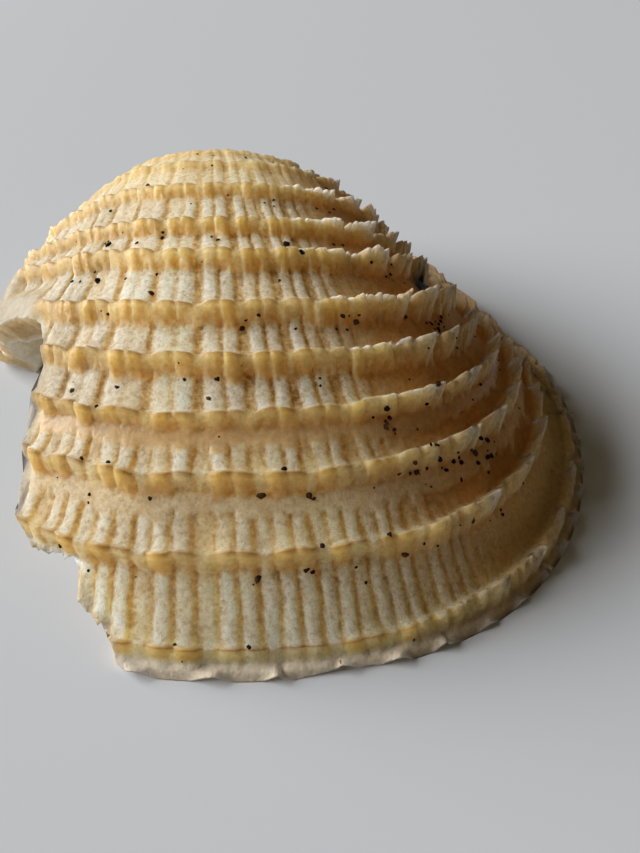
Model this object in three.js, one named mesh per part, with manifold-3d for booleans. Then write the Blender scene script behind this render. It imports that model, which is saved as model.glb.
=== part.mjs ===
// One valve of a cross-barred venus clam, lying hollow side down on its rim.
// Its front lower corner is broken away, and a lobe of the front wall stands behind the break.
// Millimetres, +Z up, beak towards +Y, lower margin towards -Y, front of the animal towards -X.
import * as THREE from 'three';
import { mergeVertices } from 'three/addons/utils/BufferGeometryUtils.js';
import Module from 'manifold-3d';

// Growth: every point has a rib angle, 0 along the middle rib, and a stage, 0 at the beak and 1 at the rim
const RIM_REACH = [8.5, 22.3, 26.5, 29.8, 30.2, 24.5, 14.1]; // beak to rim, each 30 degrees from -90 to 90
const COIL_DEG = 139; // turn of the beak since the first growth
const COIL_POWER = 0.52; // under 1, so that the young shell coils faster
const HINGE_BEND_DEG = { front: 32, back: 14 }; // fall of the hinge line on each side of the beak
const HINGE_WALL = { height: 2.2, foot: 8, run: 30 }; // low wall along the hinge line; foot and run in degrees
const BEAK = new THREE.Vector3(-3.71, 14.78, 0); // puts the origin under the middle of the valve

// Raised lamellae, at the stages where growth paused
const LAMELLA_STAGES = [
  0.29, 0.345, 0.4, 0.46, 0.523, 0.584, 0.63, 0.694, 0.747, 0.798, 0.848, 0.909, 0.979,
];
const LAMELLA_PROFILE = [ // along the growth and down from the crest
  [-0.12, 0.8],
  [-0.25, 0.1],
  [0.1, 0],
  [0.6, 0.8],
];
const GROWTH_LENGTH = 48; // beak to rim along the surface, by which the profile is laid out
const SMOOTH_BEAK_STAGES = [0.04, 0.09, 0.15, 0.21, 0.25];
const LIP = { stage: 0.99, depth: 0.35 }; // rounded edge below the last lamella
const PLAIN_EDGE_DEG = 22; // lamellae die out this close to the hinge line
const FURROW_SHARE = 0.6; // a furrow is never deeper than this share of the height over the rim plane

// Hollow: the outer form, smaller, about a point on the rim plane
const HOLLOW = { scale: 0.84, centre: new THREE.Vector3(2.8, -15.4, 0), drop: 0.4 };

// Break: rib angle and stage of the points where the broken edge turns
const BREAK_EDGE = [
  [-73.3, 1],
  [-70.2, 0.9],
  [-66.3, 0.82],
  [-61, 0.762],
  [-54, 0.727],
  [-38, 0.722],
  [-27, 0.709],
  [-22.5, 0.717],
  [-19, 0.75],
  [-18, 0.87],
  [-16.4, 0.925],
  [-9.5, 0.925],
  [-8.9, 0.954],
  [-5.2, 0.975],
  [-3.8, 1],
];
const BREAK_CLEARANCE = 1.5; // the cut runs on past the outer surface by this factor
const BREAK_DROP = 4; // and below the rim plane by this much
const BREAK_FAR_POINT = new THREE.Vector3(-60, -60, 6);

const NORMAL_STEP = { ribDeg: 0.5, stage: 0.01 }; // how far apart the surface is read for its slope; stage as a share
const RIB_COLUMNS = 44;
const HOLLOW_COLUMNS = 26;
const HOLLOW_ROWS = 14;
const SHELL_COLOUR = 0xd8c09a;
const SHELL_ROUGHNESS = 0.6;

const { degToRad, smoothstep } = THREE.MathUtils;
const reachCurve = new THREE.SplineCurve(RIM_REACH.map((reach, i) => new THREE.Vector2(i, reach)));

// Point of the smooth outer form that touches every crest
function growthPoint(ribDeg, stage) {
  const rib = degToRad(ribDeg);
  const coil = degToRad(COIL_DEG) * (1 - stage ** COIL_POWER);
  const away = smoothstep(Math.abs(ribDeg), 0, 90);
  const bend = degToRad(ribDeg < 0 ? HINGE_BEND_DEG.front : -HINGE_BEND_DEG.back) * away;
  const reach = stage * reachCurve.getPoint((ribDeg + 90) / 180).y;
  const fold = Math.cos(rib);
  const lift = fold * (1 - Math.cos(coil));
  return new THREE.Vector3(
    reach * (Math.sin(rib + bend) - lift * Math.sin(bend)),
    reach * (lift * Math.cos(bend) - Math.cos(rib + bend)),
    reach * fold * Math.sin(coil) + hingeWall(ribDeg, stage),
  );
}

// Extra height that closes the back of the valve, greatest midway between beak and rim
function hingeWall(ribDeg, stage) {
  const { height, foot, run } = HINGE_WALL;
  const fromHinge = 90 - Math.abs(ribDeg);
  const rise = smoothstep(fromHinge, 0, foot) * (1 - smoothstep(fromHinge, foot, run));
  return height * rise * 2 * Math.sqrt(Math.max(0, stage * (1 - stage)));
}

function outwardNormal(ribDeg, stage) {
  const low = Math.max(ribDeg - NORMAL_STEP.ribDeg, -90);
  const high = Math.min(ribDeg + NORMAL_STEP.ribDeg, 90);
  const older = growthPoint(ribDeg, stage * (1 + NORMAL_STEP.stage));
  const along = older.sub(growthPoint(ribDeg, stage * (1 - NORMAL_STEP.stage)));
  const across = growthPoint(high, stage).sub(growthPoint(low, stage));
  return along.cross(across).normalize();
}

// Rows of the outer surface as [stage, depth below the crests]
function outerRows() {
  const floor = LAMELLA_PROFILE[0][1];
  const rows = SMOOTH_BEAK_STAGES.map((stage) => [stage, floor * stage]);
  for (const stage of LAMELLA_STAGES) {
    const wear = Math.min(1, stage * 2); // lower near the beak
    for (const [along, depth] of LAMELLA_PROFILE) {
      rows.push([stage + along / GROWTH_LENGTH, depth * wear]);
    }
  }
  rows.pop(); // the lip takes the place of the last foot
  rows.push([LIP.stage, LIP.depth], [1, 0]);
  return rows;
}

function outerPoint(ribDeg, [stage, depth]) {
  const point = growthPoint(ribDeg, stage);
  const plain = smoothstep(90 - Math.abs(ribDeg), 0, PLAIN_EDGE_DEG);
  const furrow = Math.min(depth * plain, point.z * FURROW_SHARE);
  return point.addScaledVector(outwardNormal(ribDeg, stage), -furrow);
}

function hollowPoint(ribDeg, [stage]) {
  const point = growthPoint(ribDeg, stage).sub(HOLLOW.centre);
  point.multiplyScalar(HOLLOW.scale).add(HOLLOW.centre);
  return point.setZ(point.z - HOLLOW.drop);
}

// Closed dome: the beak point, the grid of rows and columns, and a flat bottom
function domeGeometry(pointAt, rows, columns) {
  const beak = pointAt(0, [0, 0]);
  const middle = HOLLOW.centre.clone().setZ(beak.z);
  const grid = rows.map((row) =>
    Array.from({ length: columns + 1 }, (_, i) => pointAt((180 * i) / columns - 90, row)),
  );
  const corners = [];
  for (let i = 0; i < columns; i++) {
    corners.push(beak, grid[0][i], grid[0][i + 1]);
    for (let j = 0; j + 1 < grid.length; j++) {
      const [a, b, c, d] = [grid[j][i], grid[j + 1][i], grid[j + 1][i + 1], grid[j][i + 1]];
      corners.push(a, b, c, a, c, d);
    }
  }
  const frontHinge = [beak, ...grid.map((row) => row[0])];
  const rim = grid[grid.length - 1].slice(1);
  const backHinge = grid.map((row) => row[columns]).reverse().slice(1);
  const outline = [...frontHinge, ...rim, ...backHinge];
  outline.forEach((point, i) => corners.push(middle, outline[(i + 1) % outline.length], point));
  return new THREE.BufferGeometry().setFromPoints(corners);
}

// Wedge that opens from the hollow's centre through the broken edge and closes on a far point
function breakGeometry() {
  const edge = BREAK_EDGE.map(([ribDeg, stage]) =>
    growthPoint(ribDeg, stage).sub(HOLLOW.centre).multiplyScalar(BREAK_CLEARANCE).add(HOLLOW.centre),
  );
  const first = edge[0].clone().setZ(-BREAK_DROP);
  const last = edge[edge.length - 1].clone().setZ(-BREAK_DROP);
  const outline = [first, ...edge, last];
  const apex = HOLLOW.centre.clone().setZ(-BREAK_DROP / 2);
  const corners = [];
  outline.forEach((point, i) => {
    const next = outline[(i + 1) % outline.length];
    corners.push(apex, point, next, BREAK_FAR_POINT, next, point);
  });
  return new THREE.BufferGeometry().setFromPoints(corners);
}

const wasm = await Module();
wasm.setup();

function solidFrom(geometry) {
  const merged = mergeVertices(geometry, 1e-4);
  return new wasm.Manifold(new wasm.Mesh({
    numProp: 3,
    vertProperties: merged.attributes.position.array,
    triVerts: new Uint32Array(merged.index.array),
  }));
}

function geometryFrom(solid) {
  const { vertProperties, triVerts } = solid.getMesh();
  return new THREE.BufferGeometry()
    .setAttribute('position', new THREE.BufferAttribute(vertProperties, 3))
    .setIndex(new THREE.BufferAttribute(triVerts, 1));
}

const hollowRows = Array.from({ length: HOLLOW_ROWS }, (_, j) => [(j + 1) / HOLLOW_ROWS]);
const outerForm = solidFrom(domeGeometry(outerPoint, outerRows(), RIB_COLUMNS));
const hollowForm = solidFrom(domeGeometry(hollowPoint, hollowRows, HOLLOW_COLUMNS));
const valveSolid = outerForm.subtract(hollowForm).subtract(solidFrom(breakGeometry()));

const shellMaterial = new THREE.MeshStandardMaterial({
  color: SHELL_COLOUR,
  roughness: SHELL_ROUGHNESS,
  metalness: 0,
});
const valve = new THREE.Mesh(geometryFrom(valveSolid), shellMaterial);
valve.name = 'valve';
valve.position.copy(BEAK);

const clamShell = new THREE.Group();
clamShell.add(valve);
export default clamShell;
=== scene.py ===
import math
import random
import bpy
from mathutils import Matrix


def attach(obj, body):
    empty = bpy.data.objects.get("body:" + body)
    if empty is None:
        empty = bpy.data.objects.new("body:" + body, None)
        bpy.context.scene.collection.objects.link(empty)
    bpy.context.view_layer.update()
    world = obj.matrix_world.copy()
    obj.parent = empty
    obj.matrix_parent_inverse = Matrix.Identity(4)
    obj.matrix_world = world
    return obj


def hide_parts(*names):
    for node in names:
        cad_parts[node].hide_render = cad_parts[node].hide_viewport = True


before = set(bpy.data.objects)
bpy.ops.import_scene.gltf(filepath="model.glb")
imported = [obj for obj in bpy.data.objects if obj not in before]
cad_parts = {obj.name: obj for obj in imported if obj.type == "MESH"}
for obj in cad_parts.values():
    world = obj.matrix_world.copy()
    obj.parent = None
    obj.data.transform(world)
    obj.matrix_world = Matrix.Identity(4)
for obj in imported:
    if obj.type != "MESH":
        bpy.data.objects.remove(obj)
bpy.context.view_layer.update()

from types import SimpleNamespace

import bmesh
import bpy
import numpy as np
from mathutils import Matrix, Vector, noise

mm = 0.001


def ease(value, low, high):
    u = np.clip((value - low) / (high - low), 0, 1)
    return u * u * (3 - 2 * u)


def hexColour(text, alpha=1.0):
    linear = []
    for i in (1, 3, 5):
        level = int(text[i:i + 2], 16) / 255
        linear.append(level / 12.92 if level <= 0.04045 else ((level + 0.055) / 1.055) ** 2.4)
    return (*linear, alpha)


# An input is a number or colour, a socket, or a node whose first output is meant
def addNode(tree, kind, inputs=None, **settings):
    node = tree.nodes.new(kind)
    for name, value in settings.items():
        setattr(node, name, value)
    for key, value in (inputs or {}).items():
        if isinstance(value, bpy.types.Node):
            value = value.outputs[0]
        if isinstance(value, bpy.types.NodeSocket):
            tree.links.new(value, node.inputs[key])
        else:
            node.inputs[key].default_value = value
    return node


def newMaterial(name):
    material = bpy.data.materials.new(name)
    material.use_nodes = True
    material.node_tree.nodes.clear()
    return material, material.node_tree


# Growth form of the valve. A point has a rib angle in degrees, 0 along the middle rib,
# and a stage, 0 at the beak and 1 at the rim.
growth = {
    "rimReach": (8.5, 22.3, 26.5, 29.8, 30.2, 24.5, 14.1),  # mm from beak to rim, each 30 degrees
    "coilDeg": 139,
    "coilPower": 0.52,  # under 1, so the young shell coils faster
    "bendFrontDeg": 32,  # fall of the hinge line on each side of the beak
    "bendBackDeg": 14,
    "wallHeight": 2.2,  # mm, low wall along the hinge line
    "wallFoot": 8,  # degrees
    "wallRun": 30,
    "beak": (-3.71, 14.78, 0),  # mm, where growth starts in the row's frame
    "length": 45,  # mm of surface per stage
    "ribStep": 0.5,  # degrees and stage apart at which the slope is read
    "stageStep": 0.004,
}


def rimReach(rib):
    knots = np.array(growth["rimReach"])
    place = (rib + 90) / 30
    at = np.clip(np.floor(place).astype(int), 0, 5)
    u = place - at
    here, ahead = knots[at], knots[at + 1]
    slopeHere = (ahead - knots[np.maximum(at - 1, 0)]) / 2
    slopeAhead = (knots[np.minimum(at + 2, 6)] - here) / 2
    cubic = 2 * here - 2 * ahead + slopeHere + slopeAhead
    square = 3 * ahead - 3 * here - 2 * slopeHere - slopeAhead
    return ((cubic * u + square) * u + slopeHere) * u + here


def growthPoints(rib, stage):
    angle = np.radians(rib)
    coil = math.radians(growth["coilDeg"]) * (1 - stage ** growth["coilPower"])
    bendDeg = np.where(rib < 0, growth["bendFrontDeg"], -growth["bendBackDeg"])
    bend = np.radians(bendDeg) * ease(np.abs(rib), 0, 90)
    reach = stage * rimReach(rib)
    fold = np.cos(angle)
    lift = fold * (1 - np.cos(coil))
    fromHinge = 90 - np.abs(rib)
    foot, run = growth["wallFoot"], growth["wallRun"]
    wall = ease(fromHinge, 0, foot) * (1 - ease(fromHinge, foot, run))
    wall = wall * growth["wallHeight"] * 2 * np.sqrt(np.maximum(0, stage * (1 - stage)))
    x = reach * (np.sin(angle + bend) - lift * np.sin(bend))
    y = reach * (lift * np.cos(bend) - np.cos(angle + bend))
    z = reach * fold * np.sin(coil) + wall
    return np.stack([x, y, z], axis=-1) + np.array(growth["beak"])


# Unit vectors along the growth, towards the hind end and out of the surface
def growthAxes(rib, stage):
    ribStep, stageStep = growth["ribStep"], growth["stageStep"]
    young = growthPoints(rib, np.maximum(stage - stageStep, 0))
    old = growthPoints(rib, np.minimum(stage + stageStep, 1))
    front = growthPoints(np.maximum(rib - ribStep, -90), stage)
    hind = growthPoints(np.minimum(rib + ribStep, 90), stage)
    along = old - young
    across = hind - front
    axes = (along, across, np.cross(along, across))
    return [v / np.maximum(np.linalg.norm(v, axis=-1, keepdims=True), 1e-9) for v in axes]


# Raised lamellae, in mm unless it says otherwise
ornament = {
    "crests": (0.09, 0.12, 0.155, 0.195, 0.24, 0.29, 0.345, 0.4, 0.46,
               0.523, 0.584, 0.63, 0.694, 0.747, 0.798, 0.848, 0.909, 0.979),  # stages
    "furrowDepth": 0.68,
    "faceRun": (0.5, 0.6, 0.72, 0.74, 0.72, 0.44, 0.6, 0.56, 0.52),  # lower face, last nine lamellae
    "bandWidth": (0, 0, 0, 0, 0, 0.75, 0.9, 0, 0),  # smooth band below that face
    "paleBand": 15,  # lamella over the paler band
    "terrace": ((0, 0.08, 0.17, 0.32, 0.55, 1.5, 2.4),  # ahead of a crest
                (0, 0.06, 0.3, 0.48, 0.62, 0.9, 1)),  # share of the furrow's depth there
    "free": ((0, 0.08, 0.17, 0.28, 0.45, 1.2, 2.4),  # the same where a lamella stands free
             (0, 0.08, 0.42, 0.74, 0.88, 0.97, 1)),
    "faceCurve": 1.8,
    "crestCurve": 1.5,
    "scallop": 0.13,  # crest stands higher over a pair of cords
    "toothHeight": 0.12,  # crest height differs from cord to cord
    "pitDepth": 0.06,
    "lumpHeight": 0.28,  # on the hind end
    "lipDepth": 0.22,
    "lipScallop": 0.36,
    "lipBulge": 0.2,
    "tipRise": 0.36,  # free tips of the plates towards the hind end
    "tipGap": 0.46,
    "tipSweep": 0.5,
    "pairShift": 0.12,  # crests bow towards the beak over a pair of cords
    "waveShift": 0.1,
    "toothShift": 0.12,
    "shiftReach": 0.8,  # from the crest
    "quietHeight": 0.7,  # over the table, below which there is less relief
    "lastRow": 0.97,  # stage, calmer past it
    "lipRows": (0.986, 1),  # stages, scalloped rim
    "tips": (  # rib angles of those tips, last nine lamellae
        (20, 27, 34, 42, 52, 64, 75),
        (18, 25, 32, 40, 50, 62, 74),
        (17, 24, 31, 38, 46, 58, 70),
        (16, 23, 30, 37, 45, 57, 68),
        (17, 24, 30.8, 36.5, 44.5, 55, 66),
        (15, 22, 28.8, 35.2, 43.5, 52, 63),
        (19, 25.2, 31.2, 37.5, 44, 53, 61),
        (17, 24, 30.8, 38.5, 47, 55.5, 65),
        (18, 23, 28, 33.5, 40, 48, 62)),
    "plateLead": 7,  # degrees, first plate
    "plateRise": (0.05, 0.72),  # shares of a plate's length
    "plateFall": (0.8, 1),
    "plateGap": (0, 0.36),
    "frontSwell": 0.66,  # fuller front end
    "frontSwellRibs": (24, 46),  # degrees to the front
    "frontSwellRows": (0.3, 0.6),  # stages
    "lobeFlatRows": (0.62, 0.72),
    "rimFlatRows": (0.9, 1),
    "beakSwell": 0.3,
    "beakSwellRows": (0.1, 0.3),
    "beakFlatRows": (0.48, 0.6),
    "spot": (43, 0.664, 5, 0.026),  # dark stain: rib angle and stage, and its reach in both
    "wobble": ((0.05, 2.2, 1.3), (0.04, 0.8, 9.4)),  # noise layers: amount, size, shift
    "wave": ((1, 1.0, 0.2), (0.5, 0.36, 5.2)),
    "fine": ((0.6, 0.5, 0.0), (0.7, 0.21, 4.0)),
    "lumps": ((1, 1.2, 6.1), (0.6, 0.55, 2.7)),
}

# Radial cords, in shares of a unit: a bright pair and the lower cord between two pairs
cords = {
    "unitDeg": 5.05,
    "unitShift": 0.4,  # degrees
    "unitDrift": 0.05,  # units narrow to the hind end
    "driftBend": 25,  # degrees
    "height": 0.13,  # mm
    "dimHeight": 0.09,  # mm, the lower cord
    "apart": 0.167,  # from the middle of the pair to the middle of a cord
    "apartUpper": 0.058,  # more on the upper rows
    "apartHind": 0.018,  # and less again to the hind end
    "half": 0.138,  # half a cord's width
    "halfUpper": 0.09,
    "halfHind": 0.05,
    "merged": 0.88,  # a pair nearly makes one block on the upper front side
    "mergedHalf": 0.455,
    "dimHalf": 0.13,
    "dimHalfUpper": 0.05,
    "chalkShift": 0.03,  # chalk lies on the front side of a cord
    "tileHalf": 0.44,
    "toothAt": 0.2,
    "toothHalf": 0.19,
    "gapToothHalf": 0.12,
}

# Where each region sets in: degrees to the hind end or to the front, and stages
regions = {
    "blade": (12, 26),  # hind; lamellae stand free
    "finger": (21, 30),  # hind; they end in free tips
    "brown": (12, 36),
    "hindEnd": (50, 64),
    "upper": (0.78, 0.86),
    "beak": (0.46, 0.57),
    "cordsEnd": (18, 26),  # hind; cords die out, on the upper and on the last rows
    "cordsEndRows": (0.85, 0.93),
    "cordsFade": (5, 7),
    "rubbed": (14, 19),  # front; worn down beside the break
    "rubbedRows": (0.66, 0.7),
    "rubbedMost": 0.35,
    "lobe": (23, 29),  # front; smooth
    "lobeRows": (0.655, 0.685),
    "smoothFront": (38, 43),
    "smoothFrontRows": (0.585, 0.625),
    "farFront": (46, 58),
    "plainEdge": 1,  # degrees from the hinge line without relief
    "fullRelief": (9, 24),  # degrees from the hinge line, behind and in front
}

# Break and chips: rib angle in degrees and stage where the edge turns
breakage = {
    "edge": ((-90, 1), (-73.3, 1), (-72.3, 0.96), (-70.2, 0.9), (-66.3, 0.82), (-62, 0.77),
             (-57, 0.735), (-50, 0.722), (-38, 0.722), (-34, 0.712), (-27, 0.709), (-22.8, 0.716),
             (-20.2, 0.738), (-18.9, 0.765), (-18.6, 0.83), (-17.9, 0.885), (-17.1, 0.912),
             (-16.4, 0.924), (-15.2, 0.928), (-9.6, 0.925), (-9.1, 0.936), (-8.9, 0.954),
             (-7.8, 0.962), (-5.9, 0.972), (-5, 0.981), (-4.7, 0.992), (-3.7, 1), (8, 1),
             (10, 0.997), (13.6, 0.9965), (16, 1), (90, 1)),
    "side": ((0.716, -22.8), (0.738, -20.2), (0.765, -18.9), (0.83, -18.6), (0.885, -17.9),
             (0.912, -17.1), (0.924, -16.4), (0.93, -9.4), (0.954, -8.9), (0.972, -5.9),
             (0.992, -4.7), (1, -3.7)),  # stage first, then rib angle
    "sideWidth": (0.4, 2),  # degrees
    "jag": 0.004,  # stage
    "jagLayers": ((1, 1.0, 3.3), (0.6, 0.37, 8.1)),  # amount, size, shift
    "whole": 0.99,  # stage past which the rim counts as whole
    "foldPasses": 60,  # eases the fold beside the beak
    "foldRibs": (-89, -58),
    "foldRows": (0.1, 0.9),
    "roughness": 0.14,  # mm, on the broken wall
    "crumbSize": 0.5,  # mm
    "fineColumns": ((-20.4, -16, 22), (-9.8, -8.7, 8), (-5.3, -3.5, 8)),
}

# Hollow: the grown form made smaller about a point on the rim plane
hollow = {
    "scale": 0.84,
    "thinFront": 0.1,  # the wall is thinner on the lobe
    "thinFrom": (22, 46),  # degrees to the front
    "thinTo": (56, 72),
    "centre": (-0.91, -0.62, 0),  # mm
    "drop": 0.4,  # mm
}


def ribPhase(rib):
    c = rib + cords["unitShift"]
    bend = cords["driftBend"]
    return c / cords["unitDeg"] + cords["unitDrift"] * (np.hypot(c, bend) - bend)


def fieldNoise(points, size, shift):
    scaled = points / size + shift
    return np.array([noise.noise(p) for p in scaled])


def layeredNoise(points, layers):
    return sum(amount * fieldNoise(points, size, shift) for amount, size, shift in layers)


# A fixed random value for each cord or unit on each lamella
def toss(first, second, shift):
    spots = np.stack([first * 1.9, second * 4.7, first * 0], axis=-1)
    return fieldNoise(spots, 1.0, shift)


def brokenStage(rib):
    edge = np.array(breakage["edge"])
    stage = np.interp(rib, edge[:, 0], edge[:, 1])
    probe = np.stack([rib * 1.7, rib * 0, rib * 0], axis=-1)
    jag = layeredNoise(probe, breakage["jagLayers"])
    return np.where(stage < breakage["whole"], stage + breakage["jag"] * jag, stage)


def flatTop(x):
    return (1 - np.clip(np.abs(x), 0, 1) ** 4) ** 0.6


# Where a point lies between two lamellae and across a pair of cords.
# row is the stage before the crests are scalloped.
def layOut(rib, row):
    crests = np.array(ornament["crests"])
    number = len(crests)
    detailed = len(ornament["faceRun"])  # lamellae with values of their own
    index = np.searchsorted(crests, row, side="right") - 1  # lamella above
    above = np.where(index >= 0, crests[np.maximum(index, 0)], 0.05)
    below = np.where(index + 1 < number, crests[np.minimum(index + 1, number - 1)], 1.06)
    at = SimpleNamespace(index=index)
    at.base = growthPoints(rib, row)
    at.past = (row - above) * growth["length"]  # mm
    at.left = (below - row) * growth["length"]
    at.nearest = np.where(at.past < at.left, index, index + 1)
    at.lastAbove = np.clip(index - number + detailed, 0, detailed - 1).astype(int)
    at.lastNear = np.clip(at.nearest - number + detailed, 0, detailed - 1).astype(int)
    at.lip = index == number - 1
    at.size = np.minimum(1, row * 1.35)
    phase = ribPhase(rib) + layeredNoise(at.base, ornament["wobble"])
    at.unit = np.round(phase)
    at.p = phase - at.unit
    at.cord = np.where(np.abs(at.p) < 0.36, at.unit * 3 + np.sign(at.p), np.floor(phase) * 3 + 1.5)
    at.unitToss = toss(at.unit * 2, at.nearest, 0.5)
    at.toothToss = toss(at.cord, at.nearest, 2.5)
    at.cordToss = toss(at.cord, index, 6.5)
    waveAt = np.stack([rib * 0.16, at.nearest * 4.1, rib * 0], axis=-1)
    at.wave = layeredNoise(waveAt, ornament["wave"])
    at.fine = layeredNoise(at.base, ornament["fine"])
    return at


# Regions of the valve, each 0 to 1
def regionsOf(rib, row):
    zone = SimpleNamespace()
    zone.blade = ease(rib, *regions["blade"])
    zone.finger = 0.35 + 0.65 * ease(rib, *regions["finger"])
    zone.brown = ease(rib, *regions["brown"])
    zone.hindEnd = ease(rib, *regions["hindEnd"])
    zone.upper = 1 - ease(row, *regions["upper"])
    zone.beak = 1 - ease(row, *regions["beak"])
    early, late = regions["cordsEnd"]
    before, after = regions["cordsFade"]
    fade = early + (late - early) * ease(row, *regions["cordsEndRows"])
    zone.cords = 1 - ease(rib, fade - before, fade + after)
    zone.rubbed = ease(-rib, *regions["rubbed"]) * ease(row, *regions["rubbedRows"])
    zone.rubbed = regions["rubbedMost"] * zone.rubbed
    lobe = ease(-rib, *regions["lobe"]) * ease(row, *regions["lobeRows"])
    smooth = ease(-rib, *regions["smoothFront"]) * ease(row, *regions["smoothFrontRows"])
    zone.worn = np.maximum(lobe, smooth) * (1 - 0.6 * ease(-rib, *regions["farFront"]))
    behind, inFront = regions["fullRelief"]
    zone.hinge = ease(90 - np.abs(rib), regions["plainEdge"], np.where(rib > 0, behind, inFront))
    return zone


# Cross-section of the cords, 0 in a groove and 1 on top
def cordShape(rib, at, zone):
    across = np.abs(at.p)
    toHind = ease(rib, -4, 12)
    spread = cords["apart"] + (cords["apartUpper"] - cords["apartHind"] * toHind) * zone.upper
    half = cords["half"] + (cords["halfUpper"] - cords["halfHind"] * toHind) * zone.upper
    merged = cords["merged"] * zone.upper * (1 - ease(rib, -6, 10))
    shape = SimpleNamespace()
    block = flatTop(across / cords["mergedHalf"]) * merged
    shape.bright = np.maximum(flatTop((across - spread) / half), block)
    shape.dim = flatTop((0.5 - across) / (cords["dimHalf"] - cords["dimHalfUpper"] * zone.upper))
    lit = np.abs(at.p + cords["chalkShift"])
    block = flatTop(lit / cords["mergedHalf"]) * merged
    shape.chalk = np.maximum(flatTop((lit - spread) / half), block)
    shape.tile = flatTop(across / cords["tileHalf"])
    tooth = flatTop((across - cords["toothAt"]) / cords["toothHalf"])
    bead = np.maximum(tooth, flatTop((0.5 - across) / cords["gapToothHalf"]))
    shape.bead = bead + (1 - bead) * 0.4 * zone.beak
    return shape


# Plates of the hind half: height along each plate, and the gap after the one before
def plateShape(rib, at):
    along = rib * 0
    for i, tips in enumerate(ornament["tips"]):
        stops = np.array((tips[0] - ornament["plateLead"], *tips, 90))
        k = np.clip(np.searchsorted(stops, rib), 1, len(stops) - 1)
        share = (rib - stops[k - 1]) / (stops[k] - stops[k - 1])
        along = np.where(at.lastNear == i, np.clip(share, 0, 1), along)
    rise = ease(along, *ornament["plateRise"]) * (1 - 0.9 * ease(along, *ornament["plateFall"]))
    return SimpleNamespace(rise=rise, gap=1 - ease(along, *ornament["plateGap"]))


# Profile between lamellae: share is 0 on the crest and 1 on the floor of the furrow
def furrowProfile(at, zone, shape):
    run = np.array(ornament["faceRun"])[at.lastAbove]
    run = run * (0.8 + 0.2 * shape.bead + 0.35 * at.toothToss + 0.35 * at.fine)
    face = np.clip(at.past / run, 0, 1) ** ornament["faceCurve"]
    terrace = np.interp(at.left, *ornament["terrace"])
    free = np.interp(at.left, *ornament["free"])
    back = terrace * (1 - zone.blade) + free * zone.blade
    share = np.minimum(face, np.where(at.lip, 1, back))
    share = np.where(at.index < 0, back, share)
    crest = (1 - np.clip(share, 0, 1)) ** ornament["crestCurve"]
    bandWidth = np.array(ornament["bandWidth"])[at.lastAbove]
    bandEnd = run + bandWidth * (0.95 + 0.3 * at.cordToss)
    band = ease(at.past, run * 0.9, run * 1.05) * (1 - ease(at.past, bandEnd - 0.1, bandEnd))
    band = np.where((bandWidth > 0) & (at.left > 0.35), band, 0)
    share = share * (1 - 0.2 * band)
    share = share + (0.45 - share) * zone.rubbed
    return SimpleNamespace(run=run, share=share, crest=crest, band=band)


# Depth below the form that touches the crests
def furrowDepth(row, at, zone, shape, plate, profile):
    floor = ornament["furrowDepth"] * at.size * (1 - 0.05 * zone.blade) * (1 - 0.45 * zone.beak)
    floor = np.where(at.lip, ornament["lipDepth"], floor * (1 - 0.3 * zone.hindEnd))
    notch = ornament["scallop"] * (2 * at.p) ** 2 * (1 - zone.blade) + 0.1 * np.maximum(0, at.wave)
    notch = notch + (0.1 + 0.16 * zone.blade) * (1 - shape.bead)
    notch = notch - ornament["toothHeight"] * at.toothToss
    notch = notch + (0.1 + 0.3 * zone.blade) * at.fine + 0.22 * zone.blade * at.wave
    plates = ornament["tipRise"] * plate.rise - ornament["tipGap"] * plate.gap
    plates = zone.blade * plates * zone.finger * (1 - 0.5 * zone.hindEnd)
    plates = plates * np.where(row > 0.95, 0.35, 1)  # low on the last lamella
    depth = floor * profile.share
    depth = depth + profile.crest * (notch - plates) * at.size * (1 - zone.rubbed)
    return (depth * (1 - zone.worn) + 0.12 * zone.worn) * zone.hinge


def fullness(rib, row):
    front = ornament["frontSwell"] * ease(-rib, *ornament["frontSwellRibs"])
    front = front * ease(row, *ornament["frontSwellRows"])
    front = front * (1 - 0.55 * ease(row, *ornament["lobeFlatRows"]))
    front = front * (1 - ease(row, *ornament["rimFlatRows"]))
    beak = ornament["beakSwell"] * (1 - ease(row, *ornament["beakFlatRows"]))
    return front + beak * ease(row, *ornament["beakSwellRows"])


def cordRelief(at, zone, shape, profile):
    size = at.size * np.clip(profile.share * 1.5 - 0.1, 0.4, 1) * (1 - 0.97 * profile.band)
    size = size * (1 - zone.worn) * zone.hinge * zone.cords * np.where(at.lip, 0.25, 1)
    size = size * (1 - 0.72 * zone.beak) * (0.82 + 0.18 * zone.upper)
    bright = shape.bright * cords["height"] * (0.9 + 0.6 * at.cordToss)
    dim = shape.dim * cords["dimHeight"] * (0.9 + 0.9 * at.cordToss) * (1 - 0.6 * zone.upper)
    return np.maximum(bright, dim) * size


def crumblyGrain(at, zone, profile):
    grain = ornament["pitDepth"] * at.fine * at.size * zone.hinge
    grain = grain * (1 - 0.8 * profile.band) * (1 - 0.5 * zone.worn)
    grain = grain * np.where(at.lip, 0.3, 1) * (1 + 0.3 * zone.brown + zone.hindEnd)
    lumps = layeredNoise(at.base, ornament["lumps"])
    lumps = lumps * zone.hinge * zone.hindEnd * np.where(at.lip, 0.4, 1)
    return grain + ornament["lumpHeight"] * lumps


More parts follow.
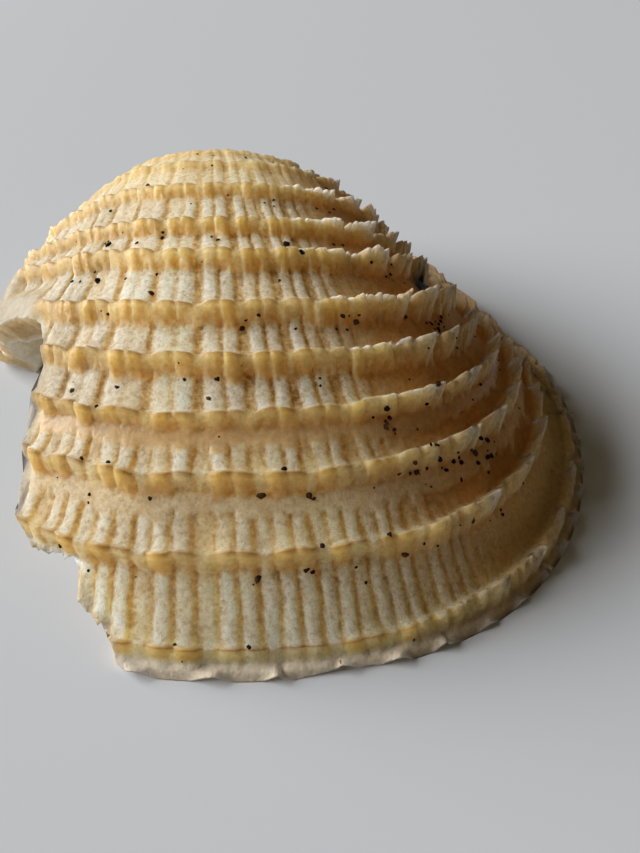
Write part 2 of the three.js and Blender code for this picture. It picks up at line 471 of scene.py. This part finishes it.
# Places on the grown form: crests move along the growth, then everything moves out or in
def skinPoints(rib, row, at, zone, shape, plate, profile):
    depth = furrowDepth(row, at, zone, shape, plate, profile)
    relief = cordRelief(at, zone, shape, profile) + crumblyGrain(at, zone, profile)
    shift = -ornament["pairShift"] * (1 - (2 * at.p) ** 2) * (1 - zone.blade)
    shift = shift + ornament["waveShift"] * at.wave + ornament["toothShift"] * at.toothToss
    fromCrest = np.minimum(at.past, at.left)
    shift = shift * np.exp(-(fromCrest / ornament["shiftReach"]) ** 2) * zone.hinge * (1 - zone.worn)
    shift = shift * np.where(row > ornament["lastRow"], 0.35, 1)
    stage = np.clip(row + shift * at.size / growth["length"], 0, 1)
    stage = np.where(row >= 1, 1, np.minimum(stage, 0.9995))
    base = growthPoints(rib, stage)
    along, across, outward = growthAxes(rib, stage)
    height = base[:, 2]
    depth = np.where(depth > 0, np.minimum(depth, 0.6 * height), depth)
    quiet = ease(height, 0, ornament["quietHeight"])
    lean = profile.crest * at.size * (0.08 + 0.26 * zone.blade) * zone.hinge * (1 - zone.worn) * quiet
    sweep = ornament["tipSweep"] * zone.finger * profile.crest * zone.blade * plate.rise
    sweep = sweep * at.size * zone.hinge * quiet
    bulge = np.where(at.lip, ornament["lipBulge"] * shape.tile * ease(at.past, 0.3, 0.7), 0)
    lift = fullness(rib, row) * zone.hinge - depth + relief * quiet
    lift = lift + bulge * zone.hinge * ease(height, 0, 0.4)
    points = base + outward * lift[:, None] - along * lean[:, None] + across * sweep[:, None]
    scallops = ornament["lipScallop"] * ease(np.abs(at.p), 0.16, 0.5) * (0.8 + 0.6 * at.unitToss)
    points[:, 2] = np.maximum(points[:, 2] + scallops * ease(row, *ornament["lipRows"]) * zone.hinge, 0)
    return points


# Where the colours change: mm from a crest, degrees to the hind end or to the front, and stages
tints = {
    "lip": (0.3, 0.46),  # mm
    "face": (0.85, 1.12),  # shares of the lower face
    "crestRim": (0.03, 0.13),  # mm
    # crest line: partly the crests' own brown line, partly painted shade
    "crestLineAndShade": (0.02, 0.11),
    "teethLineAndGlint": 0.04,  # share of a unit, pale line between two teeth, partly painted highlight
    "paleTipAndHighlight": (20, 29),  # hind; pale tips of the plates, partly painted highlight
    # painted shade: the lower rows and the lip darker towards the hind end, away from the window
    "lowHindShade": (0, 20),
    "lipHindShade": (0, 30),
    "lipPaleShade": (6, 32),
    "bladeDense": (18, 34),
    "paintedShade": (2, 22),  # front; painted shade over the side that faces the window
    "paintedShadeEnd": (36, 54),
    "frontGrimeAndShade": (40, 60),
    "beakGrimeAndShade": (0.26, 0.42),  # stages
    "upperRowsShade": (0.6, 0.68),
    "breakRows": (0.7, 0.74),
    "lastBrown": (0.91, 0.93),
}


# Amounts of each colour of the finish, 0 to 1
def colourMarks(rib, row, at, zone, shape, plate, profile):
    side = np.array(breakage["side"])
    fromSide = rib - np.interp(row, side[:, 0], side[:, 1])
    besideBreak = (1 - ease(fromSide, *breakage["sideWidth"])) * ease(row, *tints["breakRows"])
    low = 1 - zone.upper  # upper lamellae are evenly amber, the lower ones patchy
    lip = np.where(at.lip, ease(at.past, *tints["lip"]), 0)

    solid, clear = tints["face"]
    faceTint = 1 - ease(at.past, profile.run * solid, profile.run * clear)
    faceTint = np.where(at.index >= 0, faceTint, 0)
    rimTint = np.where(at.lip, 0, 1 - ease(at.left, *tints["crestRim"]))
    patchy = np.clip(0.55 + 1.8 * at.toothToss, 0.05, 1) * low
    patchy = patchy + np.clip(0.85 + 0.9 * at.toothToss, 0.3, 1) * zone.upper
    amber = np.maximum(faceTint, rimTint) * patchy * (0.22 + 0.78 * shape.tile)
    amber = amber * (1 - zone.worn) * (1 - lip) * (1 - 0.8 * zone.brown) * (1 - 0.5 * zone.beak)
    # pale line between two teeth: partly a seam in the colour, partly painted highlight
    amber = amber * (1 - 0.7 * np.exp(-(at.p / tints["teethLineAndGlint"]) ** 2))

    plain = (1 - profile.band) * (1 - zone.worn) * (1 - amber) * (1 - lip)
    cordTop = np.maximum(shape.chalk, shape.dim * (0.1 + 0.8 * low + 0.6 * at.cordToss))
    chalk = np.clip(cordTop * 1.2 - 0.15, 0, 1) * plain * zone.cords * (1 - 0.5 * zone.beak)
    # painted shade: less chalk on the upper rows, which face the window
    chalk = chalk * (1 - 0.2 * (1 - ease(row, *tints["upperRowsShade"])))
    chalk = chalk * np.clip(0.95 + 0.7 * at.cordToss, 0.4, 1) * (1 - 0.8 * faceTint)
    # painted shade: less chalk on the lower rows towards the hind end
    chalk = chalk * (1 - 0.35 * low * ease(rib, *tints["lowHindShade"]))
    # pale tips of the hind plates: partly their own paler edge, partly painted highlight where they
    # catch the light
    paleTipAndHighlight = 0.9 * profile.crest * plate.rise ** 2 * ease(rib, *tints["paleTipAndHighlight"])
    paleTipAndHighlight = paleTipAndHighlight * (1 - 0.6 * zone.hindEnd)
    isPale = at.index == ornament["paleBand"]
    pale = 0.7 * profile.band * isPale * (1 - zone.brown) * (0.6 + 0.4 * shape.tile)
    chalk = np.maximum(chalk, paleTipAndHighlight + pale) * (1 - 0.8 * besideBreak)

    # darker brown in the grooves between the cords: partly their own colour, partly painted shade that
    # keeps the low grooves dark
    groove = (1 - np.maximum(shape.bright, shape.dim * (1 - 0.8 * zone.upper))) * plain * zone.cords
    groove = groove * (1 - 0.75 * zone.beak) * (1 - 0.7 * faceTint) * (1 - 0.5 * low)
    # browner on the hind side, most in the furrows between the plates: partly the shell's own tint,
    # partly painted shade on the side away from the window
    brown = zone.brown * np.clip(profile.share * 1.6 - 0.5 + 0.5 * zone.hindEnd, 0.6, 1) * (1 - lip)
    brown = brown * (1 - 0.45 * ease(row, *tints["lastBrown"]))
    # painted shade: the lip browner towards the hind end
    brown = brown + 0.9 * lip * ease(rib, *tints["lipHindShade"])
    brown = brown * (1 - 0.8 * paleTipAndHighlight)
    # dark line along each crest: partly the crests' own brown line, partly painted shade in the crevice
    # there, which also dulls the lit crest tops
    edge = 1 - ease(np.minimum(at.past, at.left), *tints["crestLineAndShade"])
    edge = edge * (0.35 + 0.65 * shape.tile)
    edge = edge * (1 - zone.worn) * np.where(at.lip, 0.4, 1) * (1 - zone.brown)
    edge = edge * (1 - 0.5 * zone.beak)
    # browner and darker over the far front end and the beak: partly dirt, partly painted shade on the
    # far front end, which faces the window
    grimeAndShade = np.maximum(ease(-rib, *tints["frontGrimeAndShade"]), 1 - ease(row, *tints["beakGrimeAndShade"]))
    # painted shade: darker on the front side, which faces the window, and on the strip beside the break
    paintedShade = ease(-rib, *tints["paintedShade"]) * (1 - 0.35 * ease(-rib, *tints["paintedShadeEnd"]))
    paintedShade = paintedShade + 0.75 * besideBreak
    dense = np.maximum(besideBreak, 0.85 * ease(rib, *tints["bladeDense"]) * profile.crest ** 0.5)
    spotRib, spotRow, ribReach, rowReach = ornament["spot"]
    stain = np.exp(-((rib - spotRib) / ribReach) ** 2 - ((row - spotRow) / rowReach) ** 2)
    return {
        "chalk": chalk,
        "groove": groove,
        "amber": amber,
        "band": profile.band * np.where(isPale, 0.3, 1),
        "back": brown,
        "edge": edge,
        "worn": zone.worn,
        # painted shade: the lip's pale colour falls away towards the hind end
        "inside": 0.85 * lip * (1 - 0.75 * ease(rib, *tints["lipPaleShade"])),
        "broken": rib * 0,
        "grimeAndShade": grimeAndShade,
        "paintedShade": paintedShade,  # painted shade on the front side, which faces the window, and beside the break
        "dense": dense,  # where less light gets under the surface
        "stain": np.clip(stain * 2.4 - 0.3, 0, 1),
    }


def outerSkin(rib, row):
    at = layOut(rib, row)
    zone = regionsOf(rib, row)
    at.toothToss = at.toothToss * (1 - 0.3 * zone.blade)
    shape = cordShape(rib, at, zone)
    plate = plateShape(rib, at)
    profile = furrowProfile(at, zone, shape)
    points = skinPoints(rib, row, at, zone, shape, plate, profile)
    marks = colourMarks(rib, row, at, zone, shape, plate, profile)
    return points, marks


def innerSkin(rib, stage):
    centre = np.array(hollow["centre"])
    thin = ease(-rib, *hollow["thinFrom"]) * (1 - ease(-rib, *hollow["thinTo"]))
    scale = hollow["scale"] + hollow["thinFront"] * thin
    points = (growthPoints(rib, stage) - centre) * scale[:, None] + centre
    points[:, 2] = np.maximum(points[:, 2] - hollow["drop"], 0)
    return points


# Rows and columns of the valve's mesh
sheet = {
    "beakRows": (0, 0.04),  # stages
    "largeFrom": 0.5,  # stage
    "before": (-0.3, -0.16, -0.07),  # mm, rows before and after a large crest
    "after": (0, 0.06, 0.16, 0.28, 0.38, 0.48, 0.6),
    "smallBefore": (-0.09,),
    "smallAfter": (0, 0.14, 0.4),
    "rowGap": 0.16,  # mm
    "smallRowGap": 0.7,
    "lipRows": (0.9935, 0.9955, 0.9975, 0.999, 1),
    "perUnit": ((-90, -60, 4), (-60, -22, 8), (-22, 48, 18), (48, 66, 8), (66, 90, 4)),  # columns
    "leastGap": 0.05,  # degrees
    "wallSteps": 4,
    "innerSteps": 14,
}


def rowStations():
    crests = ornament["crests"]
    length = growth["length"]
    rows = list(sheet["beakRows"])
    for crest, ends in zip(crests, (*crests[1:], 1)):
        large = crest > sheet["largeFrom"]
        before = sheet["before"] if large else sheet["smallBefore"]
        after = sheet["after"] if large else sheet["smallAfter"]
        gap = sheet["rowGap"] if large else sheet["smallRowGap"]
        rows += [crest + s / length for s in (*before, *after)]
        first, last = crest + after[-1] / length, ends + before[0] / length
        steps = max(2, round((last - first) * length / gap))
        if ends < 1:
            rows += list(np.linspace(first, last, steps + 1)[1:-1])
    rows += sheet["lipRows"]
    return np.unique(np.round(rows, 5))


def columnAngles():
    fine = np.linspace(-90, 90, 7201)
    phase = ribPhase(fine)
    columns = [np.array([-90, 90])]
    for low, high, perUnit in sheet["perUnit"]:
        first, last = np.interp((low, high), fine, phase)
        steps = np.arange(math.ceil(first * perUnit), math.ceil(last * perUnit)) / perUnit
        columns.append(np.interp(steps, phase, fine))  # grooves fall on columns
    for low, high, number in breakage["fineColumns"]:
        columns.append(np.linspace(low, high, number))
    columns = np.unique(np.concatenate(columns).round(3))
    return columns[np.concatenate([[True], np.diff(columns) > sheet["leastGap"]])]


# Flat sheet in rib angle and place: outer stage to 1, the wall to 2, then back up the hollow to 3
def valveSheet():
    columns = columnAngles()
    wall = 1 + np.arange(1, sheet["wallSteps"]) / sheet["wallSteps"]
    inner = 2 + np.linspace(0, 1, sheet["innerSteps"] + 1)
    section = np.concatenate([rowStations(), wall, inner])
    bm = bmesh.new()
    bmesh.ops.create_grid(bm, x_segments=len(columns) - 1, y_segments=len(section) - 1, size=1)
    bm.verts.ensure_lookup_table()
    flat = np.array([v.co for v in bm.verts])
    col = np.rint((flat[:, 0] + 1) / 2 * (len(columns) - 1)).astype(int)
    row = np.rint((1 - flat[:, 1]) / 2 * (len(section) - 1)).astype(int)
    ends = brokenStage(columns)[col]
    rib, place = columns[col], section[row]
    place = np.where(place <= 1, np.minimum(place, ends), place)
    place = np.where(place >= 2, np.maximum(place, 3 - ends), place)
    rib = np.where((place <= 0) | (place >= 3), 0, rib)
    for v, x, y in zip(bm.verts, rib, place):
        v.co = (x, y, 0)
    bmesh.ops.remove_doubles(bm, verts=bm.verts, dist=1e-5)
    print("valve sheet", len(columns), "columns", len(section), "rows")
    return bm


def makeValve():
    bm = valveSheet()
    flat = np.array([v.co for v in bm.verts])
    rib, place = flat[:, 0], flat[:, 1]
    ends = brokenStage(rib)
    isOuter = place <= 1.0001  # mesh coordinates are a hair off
    isInner = place >= 2 - 1e-6
    isWall = ~(isOuter | isInner)
    stage = np.where(isOuter, place, np.where(isWall, ends, 3 - place))
    stage = np.clip(stage, 0, 1)
    points, marks = outerSkin(rib, stage)
    inside = innerSkin(rib, stage)

    # rim and broken wall
    share = np.clip(place - 1, 0, 1)
    crumb = fieldNoise(points, breakage["crumbSize"], 7.7) * breakage["roughness"]
    crumb = crumb * (ends < 0.997) * (1 - 0.85 * ease(-rib, 21, 27))  # not on the lobe
    wallPoints = points * (1 - share[:, None]) + inside * share[:, None]
    wallPoints = wallPoints + np.stack([crumb, -crumb, crumb * 0.5], axis=-1)
    wallPoints[:, 2] = np.maximum(wallPoints[:, 2], 0)
    places = np.where(isWall[:, None], wallPoints, np.where(isInner[:, None], inside, points))
    for name in marks:
        marks[name] = np.where(isOuter, marks[name], 0)
    wholeRim = isWall & (ends > breakage["whole"])
    marks["inside"] = np.where(isInner, 1.0, np.where(wholeRim, 0.7, marks["inside"]))
    marks["broken"] = np.where(isWall & ~wholeRim, 1.0, 0.0)
    for v, point in zip(bm.verts, places * mm):
        v.co = point

    # fold of the grown form beside the beak
    bm.verts.ensure_lookup_table()
    (ribLow, ribHigh), (rowLow, rowHigh) = breakage["foldRibs"], breakage["foldRows"]
    beside = (rib > ribLow) & (rib < ribHigh) & (place > rowLow) & (place < rowHigh)
    besideVerts = [bm.verts[i] for i in np.flatnonzero(beside)]
    for _ in range(breakage["foldPasses"]):
        bmesh.ops.smooth_vert(bm, verts=besideVerts, factor=0.5,
                              use_axis_x=True, use_axis_y=True, use_axis_z=True)

    openEdges = [e for e in bm.edges if e.is_boundary]
    plate = bmesh.ops.contextual_create(bm, geom=openEdges)["faces"]
    bmesh.ops.triangulate(bm, faces=plate)
    bmesh.ops.recalc_face_normals(bm, faces=bm.faces)
    mesh = bpy.data.meshes.new("valve_shell")
    bm.to_mesh(mesh)
    bm.free()
    mesh.shade_smooth()
    for name, amounts in marks.items():
        attribute = mesh.attributes.new(name, "FLOAT", "POINT")
        attribute.data.foreach_set("value", amounts.astype(np.float32))
    valve = bpy.data.objects.new("valve_shell", mesh)
    bpy.context.scene.collection.objects.link(valve)
    print("valve faces", len(mesh.polygons), "open edges", len(openEdges))
    return valve


# Aragonite shell, grown and beach-worn: chalky cords, translucent amber lamella faces, a waxy lip
shellFinish = {
    "furrow": "#f5d89b",
    "layers": (  # mark, colour and most cover, laid over the furrow colour in this order
        ("chalk", "#fbf0d8", 1.0),
        # groove brown: partly the grooves' own colour, partly painted shade
        ("groove", "#c29650", 0.78),
        ("amber", "#ebbd6a", 1.0),
        ("band", "#ecca90", 1.0),
        # hind-side brown: partly the shell's own tint, partly painted shade
        ("back", "#d99742", 0.9),
        # dark crest line: partly the crests' own colour, partly painted shade
        ("edge", "#a87834", 0.85),
        ("worn", "#c9b896", 0.95),
        ("inside", "#ffeed2", 1.0),
        ("broken", "#c2a980", 1.0),
        # browner film: partly dirt, partly painted shade
        ("grimeAndShade", "#9c7a49", 0.55)),
    "pit": "#a3783f",
    "stain": "#120e0b",
    "pitSize": 0.17,  # mm
    "crumbSize": 0.24,
    "cloudSize": 3.0,
    "grainDepth": 0.18,
    "glowDepth": 2.0,  # mm of light spread under the surface
    "ior": 1.55,
    "pitCover": {"From Min": 0.52, "From Max": 0.72, "To Min": 0.0, "To Max": 0.3},
    "pitsOnGloss": {"To Min": 1.0, "To Max": 0.15},
    "chalkPatches": {"From Min": 0.36, "From Max": 0.54, "To Min": 0.5, "To Max": 1.0},
    "grooveBlots": {"From Min": 0.4, "From Max": 0.58, "To Min": 1.25, "To Max": 0.4},
    "clouds": {"From Min": 0.3, "From Max": 0.7, "To Min": 0.86, "To Max": 1.06},  # brightness
    "specks": {"From Min": 0.36, "From Max": 0.64, "To Min": 0.88, "To Max": 1.1},
    # painted shade: darker where that mark is high
    "paintedShadeFilm": {"From Max": 2.0, "To Min": 1.0, "To Max": 0.3},
    "roughness": {"To Min": 0.6, "To Max": 0.36},  # chalk, then smooth faces
    "shine": {"To Min": 0.08, "To Max": 0.28},
    "bumpOnChalk": {"To Min": 0.3, "To Max": 1.0},
    "glow": {"To Min": 1.0, "To Max": 0.2},  # thin edges would glow white at full strength
}


def shellMaterial():
    material, tree = newMaterial("worn aragonite shell")
    mark = {}
    for name in (*(layer[0] for layer in shellFinish["layers"]), "paintedShade", "dense", "stain"):
        mark[name] = addNode(tree, "ShaderNodeAttribute", attribute_name=name).outputs["Fac"]
    where = addNode(tree, "ShaderNodeTexCoord").outputs["Object"]
    cloud = addNode(tree, "ShaderNodeTexNoise", {
        "Vector": where, "Scale": 1 / (shellFinish["cloudSize"] * mm), "Detail": 4.0})
    crumbs = addNode(tree, "ShaderNodeTexNoise", {
        "Vector": where, "Scale": 1 / (shellFinish["crumbSize"] * mm), "Detail": 4.0, "Roughness": 0.7})
    pits = addNode(tree, "ShaderNodeTexNoise", {
        "Vector": where, "Scale": 1 / (shellFinish["pitSize"] * mm), "Detail": 2.0, "Roughness": 0.6})
    gloss = mark["amber"]
    for name in ("band", "inside", "worn"):
        gloss = addNode(tree, "ShaderNodeMath", {0: gloss, 1: mark[name]}, operation="MAXIMUM")
    pitted = addNode(tree, "ShaderNodeMapRange", {"Value": pits, **shellFinish["pitCover"]})
    dull = addNode(tree, "ShaderNodeMapRange", {"Value": gloss, **shellFinish["pitsOnGloss"]})
    pitted = addNode(tree, "ShaderNodeMath", {0: pitted, 1: dull}, operation="MULTIPLY")

    # colour: layers, then pits, then brightness and the painted shade, then the stain
    for name, spread in (("chalk", "chalkPatches"), ("groove", "grooveBlots")):
        patchy = addNode(tree, "ShaderNodeMapRange", {"Value": crumbs, **shellFinish[spread]})
        mark[name] = addNode(tree, "ShaderNodeMath", {0: mark[name], 1: patchy}, operation="MULTIPLY")
    base = hexColour(shellFinish["furrow"])
    for name, text, most in shellFinish["layers"]:
        amount = addNode(tree, "ShaderNodeMath", {0: mark[name], 1: most}, operation="MULTIPLY")
        coat = {0: amount, 6: base, 7: hexColour(text)}
        base = addNode(tree, "ShaderNodeMix", coat, data_type="RGBA").outputs[2]
    coat = {0: pitted, 6: base, 7: hexColour(shellFinish["pit"])}
    base = addNode(tree, "ShaderNodeMix", coat, data_type="RGBA").outputs[2]
    for field, spread in ((cloud, "clouds"), (crumbs, "specks"), (mark["paintedShade"], "paintedShadeFilm")):
        shade = addNode(tree, "ShaderNodeMapRange", {"Value": field, **shellFinish[spread]})
        base = addNode(tree, "ShaderNodeVectorMath", {0: base, "Scale": shade}, operation="SCALE")
        base = base.outputs[0]
    coat = {0: mark["stain"], 6: base, 7: hexColour(shellFinish["stain"])}
    base = addNode(tree, "ShaderNodeMix", coat, data_type="RGBA").outputs[2]

    rough = addNode(tree, "ShaderNodeMapRange", {"Value": gloss, **shellFinish["roughness"]})
    shine = addNode(tree, "ShaderNodeMapRange", {"Value": gloss, **shellFinish["shine"]})
    grain = addNode(tree, "ShaderNodeMath", {0: crumbs, 1: pitted}, operation="SUBTRACT")
    crumbly = addNode(tree, "ShaderNodeMath", {0: mark["chalk"], 1: mark["band"]}, operation="SUBTRACT")
    strength = addNode(tree, "ShaderNodeMapRange", {"Value": crumbly, **shellFinish["bumpOnChalk"]})
    bump = addNode(tree, "ShaderNodeBump", {
        "Height": grain, "Strength": strength, "Distance": shellFinish["grainDepth"] * mm})
    dense = addNode(tree, "ShaderNodeMath", {0: mark["inside"], 1: mark["dense"]}, operation="MAXIMUM")
    glow = addNode(tree, "ShaderNodeMapRange", {"Value": dense, **shellFinish["glow"]})
    skin = addNode(tree, "ShaderNodeBsdfPrincipled", {
        "Base Color": base,
        "Roughness": rough,
        "IOR": shellFinish["ior"],
        "Normal": bump,
        "Subsurface Weight": glow,
        "Subsurface Radius": (1.0, 1.0, 1.0),
        "Subsurface Scale": shellFinish["glowDepth"] * mm,
        "Specular IOR Level": shine,
    })
    addNode(tree, "ShaderNodeOutputMaterial", {0: skin})
    return material


valve = makeValve()
valve.data.materials.append(shellMaterial())
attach(valve, "root")
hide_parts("valve")


# Dark beach sand caught in the furrows: broken grains, matt, nearly black to brown
grit = {
    "noted": (  # rib angle, stage, size in mm
        (-7.2, 0.513, 0.3), (-3.2, 0.599, 0.32), (-12.2, 0.61, 0.42), (-18.8, 0.657, 0.25),
        (-12.8, 0.658, 0.45), (-3.2, 0.648, 0.25), (-3.5, 0.676, 0.3), (14.2, 0.615, 0.5),
        (15.8, 0.633, 0.3), (12.2, 0.658, 0.25), (6.8, 0.711, 0.3), (3.8, 0.763, 0.3),
        (3, 0.781, 0.25), (-12.2, 0.784, 0.3), (-8.2, 0.796, 0.25), (-6.2, 0.844, 0.3),
        (-9.2, 0.845, 0.25), (7, 0.861, 0.4), (11.2, 0.863, 0.38), (9.2, 0.844, 0.3),
        (6, 0.927, 0.4), (10, 0.923, 0.32), (10.5, 0.924, 0.28), (5, 0.977, 0.26),
        (-0.2, 0.976, 0.22), (-10.8, 0.917, 0.25), (11.5, 0.907, 0.36), (17.5, 0.907, 0.3),
        (18.8, 0.922, 0.34), (26.8, 0.917, 0.38), (23.8, 0.859, 0.42), (25.2, 0.857, 0.34),
        (27.5, 0.861, 0.38), (22.8, 0.844, 0.38), (34, 0.861, 0.34), (33.5, 0.875, 0.3),
        (21.2, 0.808, 0.3), (27, 0.796, 0.34), (20.8, 0.71, 0.34), (19, 0.707, 0.3),
        (30, 0.705, 0.34), (39.2, 0.713, 0.34)),
    "patches": ((25, 0.857, 14), (31, 0.87, 8), (20, 0.81, 6), (36, 0.72, 8)),  # rib angle, stage, count
    "patchSpread": (2.2, 0.008),  # degrees, stage
    "patchSize": (0.14, 0.36),  # mm
    "scattered": 190,
    "scatterRibs": (-34, 66, 26),  # degrees: from, to, most at
    "firstCrest": 7,  # oldest lamella that holds sand
    "belowCrest": (0.3, 1.3),  # mm
    "fromBreak": 0.012,  # stage
    "size": (0.09, 0.24),  # mm
    "bulk": 0.42,  # radius as a share of the size
    "chipped": 0.09,
    "stretch": ((0.8, 1.3), (0.7, 1), (0.5, 0.8)),
    "turn": 6.28,  # radians
    "colours": ("#24160b", "#452c17", "#60472c"),
    "colourStops": (0.45, 0.58, 0.68),
    "colourSize": 0.7,  # mm over which the colour changes
    "roughness": 0.8,
    "shine": 0.15,
}


def gritSpots():
    dice = random.Random(11)
    spots = list(grit["noted"])
    ribSpread, stageSpread = grit["patchSpread"]
    for rib, stage, count in grit["patches"]:
        for _ in range(count):
            place = (dice.gauss(rib, ribSpread), dice.gauss(stage, stageSpread))
            spots.append((*place, dice.uniform(*grit["patchSize"])))
    while len(spots) < len(grit["noted"]) + grit["scattered"]:
        rib = dice.triangular(*grit["scatterRibs"])
        crest = dice.choice(ornament["crests"][grit["firstCrest"]:])
        stage = crest + dice.uniform(*grit["belowCrest"]) / growth["length"]
        if stage < brokenStage(np.array([rib]))[0] - grit["fromBreak"]:
            spots.append((rib, stage, dice.uniform(*grit["size"])))
    return spots


def gritMaterial():
    material, tree = newMaterial("dark beach sand")
    where = addNode(tree, "ShaderNodeTexCoord").outputs["Object"]
    kinds = addNode(tree, "ShaderNodeTexNoise", {
        "Vector": where, "Scale": 1 / (grit["colourSize"] * mm), "Detail": 1.0})
    ramp = addNode(tree, "ShaderNodeValToRGB", {0: kinds})
    dark, middle, light = grit["colourStops"]
    ramp.color_ramp.elements[0].position = dark
    ramp.color_ramp.elements[0].color = hexColour(grit["colours"][0])
    ramp.color_ramp.elements[1].position = light
    ramp.color_ramp.elements[1].color = hexColour(grit["colours"][2])
    ramp.color_ramp.elements.new(middle).color = hexColour(grit["colours"][1])
    skin = addNode(tree, "ShaderNodeBsdfPrincipled", {
        "Base Color": ramp, "Roughness": grit["roughness"], "Specular IOR Level": grit["shine"]})
    addNode(tree, "ShaderNodeOutputMaterial", {0: skin})
    return material


def makeGrit():
    spots = np.array(gritSpots())
    points, _ = outerSkin(spots[:, 0], spots[:, 1])
    outward = growthAxes(spots[:, 0], spots[:, 1])[2]
    dice = random.Random(5)
    bm = bmesh.new()
    for point, normal, size in zip(points, outward, spots[:, 2]):
        upright = Vector(normal).to_track_quat("Z", "Y").to_matrix().to_4x4()
        turn = upright @ Matrix.Rotation(dice.uniform(0, grit["turn"]), 4, "Z")
        squash = Matrix.Diagonal((*[dice.uniform(*s) for s in grit["stretch"]], 1))
        spot = Matrix.Translation(Vector(point) * mm) @ turn @ squash
        radius = size * grit["bulk"] * mm
        grain = bmesh.ops.create_icosphere(bm, subdivisions=1, radius=radius, matrix=spot)["verts"]
        for v in grain:
            v.co += Vector([dice.uniform(-1, 1) for _ in range(3)]) * size * grit["chipped"] * mm
    mesh = bpy.data.meshes.new("sand_grains")
    bm.to_mesh(mesh)
    bm.free()
    mesh.materials.append(gritMaterial())
    grains = bpy.data.objects.new("sand_grains", mesh)
    bpy.context.scene.collection.objects.link(grains)
    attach(grains, "root")
    print("sand grains", len(spots))


makeGrit()


# Pale table top: matt laminate, no pattern
table = {
    "size": 0.9,  # m
    "colour": "#d3d7db",
    "roughness": 0.9,
    "shine": 0.2,
}


def makeTable():
    bm = bmesh.new()
    bmesh.ops.create_grid(bm, x_segments=1, y_segments=1, size=table["size"] / 2)
    mesh = bpy.data.meshes.new("table_top")
    bm.to_mesh(mesh)
    bm.free()
    top = bpy.data.objects.new("table_top", mesh)
    bpy.context.scene.collection.objects.link(top)
    material, tree = newMaterial("matt white laminate")
    skin = addNode(tree, "ShaderNodeBsdfPrincipled", {
        "Base Color": hexColour(table["colour"]),
        "Roughness": table["roughness"],
        "Specular IOR Level": table["shine"],
    })
    addNode(tree, "ShaderNodeOutputMaterial", {0: skin})
    mesh.materials.append(material)


# Soft window light from the back left, and a dim warm room
lighting = {
    "windowFrom": (-2.62, 0.7, 1.26),  # m
    "windowWide": 3.0,
    "windowTall": 1.25,
    "windowPower": 176,  # W
    "windowColour": "#fdfdff",
    "room": "#ddc8a2",
    "roomStrength": 0.1,
}


def makeLight():
    light = bpy.data.lights.new("window", "AREA")
    light.shape = "RECTANGLE"
    light.size = lighting["windowWide"]
    light.size_y = lighting["windowTall"]
    light.energy = lighting["windowPower"]
    light.color = hexColour(lighting["windowColour"])[:3]
    window = bpy.data.objects.new("window", light)
    window.location = lighting["windowFrom"]
    window.rotation_euler = (-Vector(lighting["windowFrom"])).to_track_quat("-Z", "Y").to_euler()
    bpy.context.scene.collection.objects.link(window)
    world = bpy.data.worlds.new("room")
    world.use_nodes = True
    sky = world.node_tree.nodes["Background"]
    sky.inputs["Color"].default_value = hexColour(lighting["room"])
    sky.inputs["Strength"].default_value = lighting["roomStrength"]
    bpy.context.scene.world = world


view = {
    "place": (-0.126, -27.024, 23.016),  # mm
    "yawDeg": 5.19,
    "pitchDeg": 42.61,
    "rollDeg": 1.95,
    "focal": 690,  # pixels
    "imageHeight": 853,
    "sensor": 36,  # mm
}


def makeCamera():
    camera = bpy.data.cameras.new("photo_view")
    camera.sensor_width = view["sensor"]
    camera.lens = view["focal"] / view["imageHeight"] * view["sensor"]
    camera.clip_start = 1 * mm
    holder = bpy.data.objects.new("photo_view", camera)
    turn = (Matrix.Rotation(-math.radians(view["yawDeg"]), 4, "Z")
            @ Matrix.Rotation(math.radians(90 - view["pitchDeg"]), 4, "X")
            @ Matrix.Rotation(math.radians(view["rollDeg"]), 4, "Z"))
    holder.matrix_world = Matrix.Translation(Vector(view["place"]) * mm) @ turn
    bpy.context.scene.collection.objects.link(holder)
    bpy.context.scene.camera = holder


makeTable()
makeLight()
makeCamera()
bpy.context.scene.view_settings.view_transform = "Standard"
print("scene ready")
